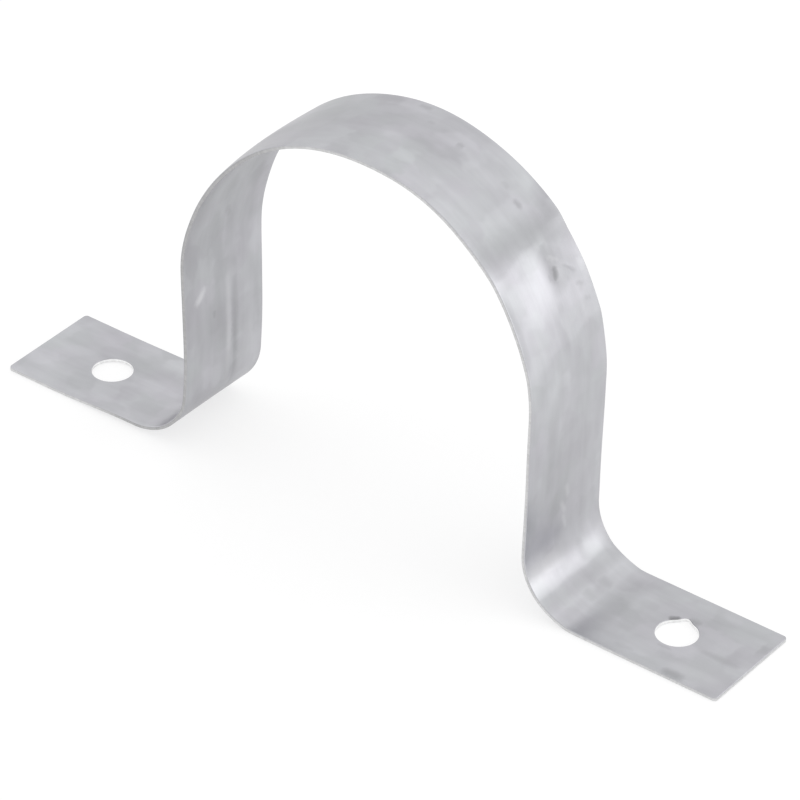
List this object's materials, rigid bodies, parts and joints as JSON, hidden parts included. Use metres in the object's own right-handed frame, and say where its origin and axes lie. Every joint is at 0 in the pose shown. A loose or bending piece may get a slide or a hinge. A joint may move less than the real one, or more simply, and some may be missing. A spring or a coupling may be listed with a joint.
{
  "type": "pipe saddle clamp",
  "caption": "Thin zinc-coated steel strip folded into a U-shaped saddle with flat punched feet, for strapping a round pipe to a wall or ceiling.",
  "frame": {"origin": "on the wall face under the feet, midway between the feet and midway across the strip", "axes": "+X from foot to foot, +Y along the pipe, +Z away from the wall through the crown of the arch"},
  "size_m": [0.1342, 0.019, 0.066],
  "materials": {
    "zinc_coated_steel": "hot-dip zinc coating, dull grey with faint mottling, roller streaks and handling scratches"
  },
  "bodies": {
    "root": {"saddle_strap": "zinc_coated_steel"}
  },
  "joints": []
}
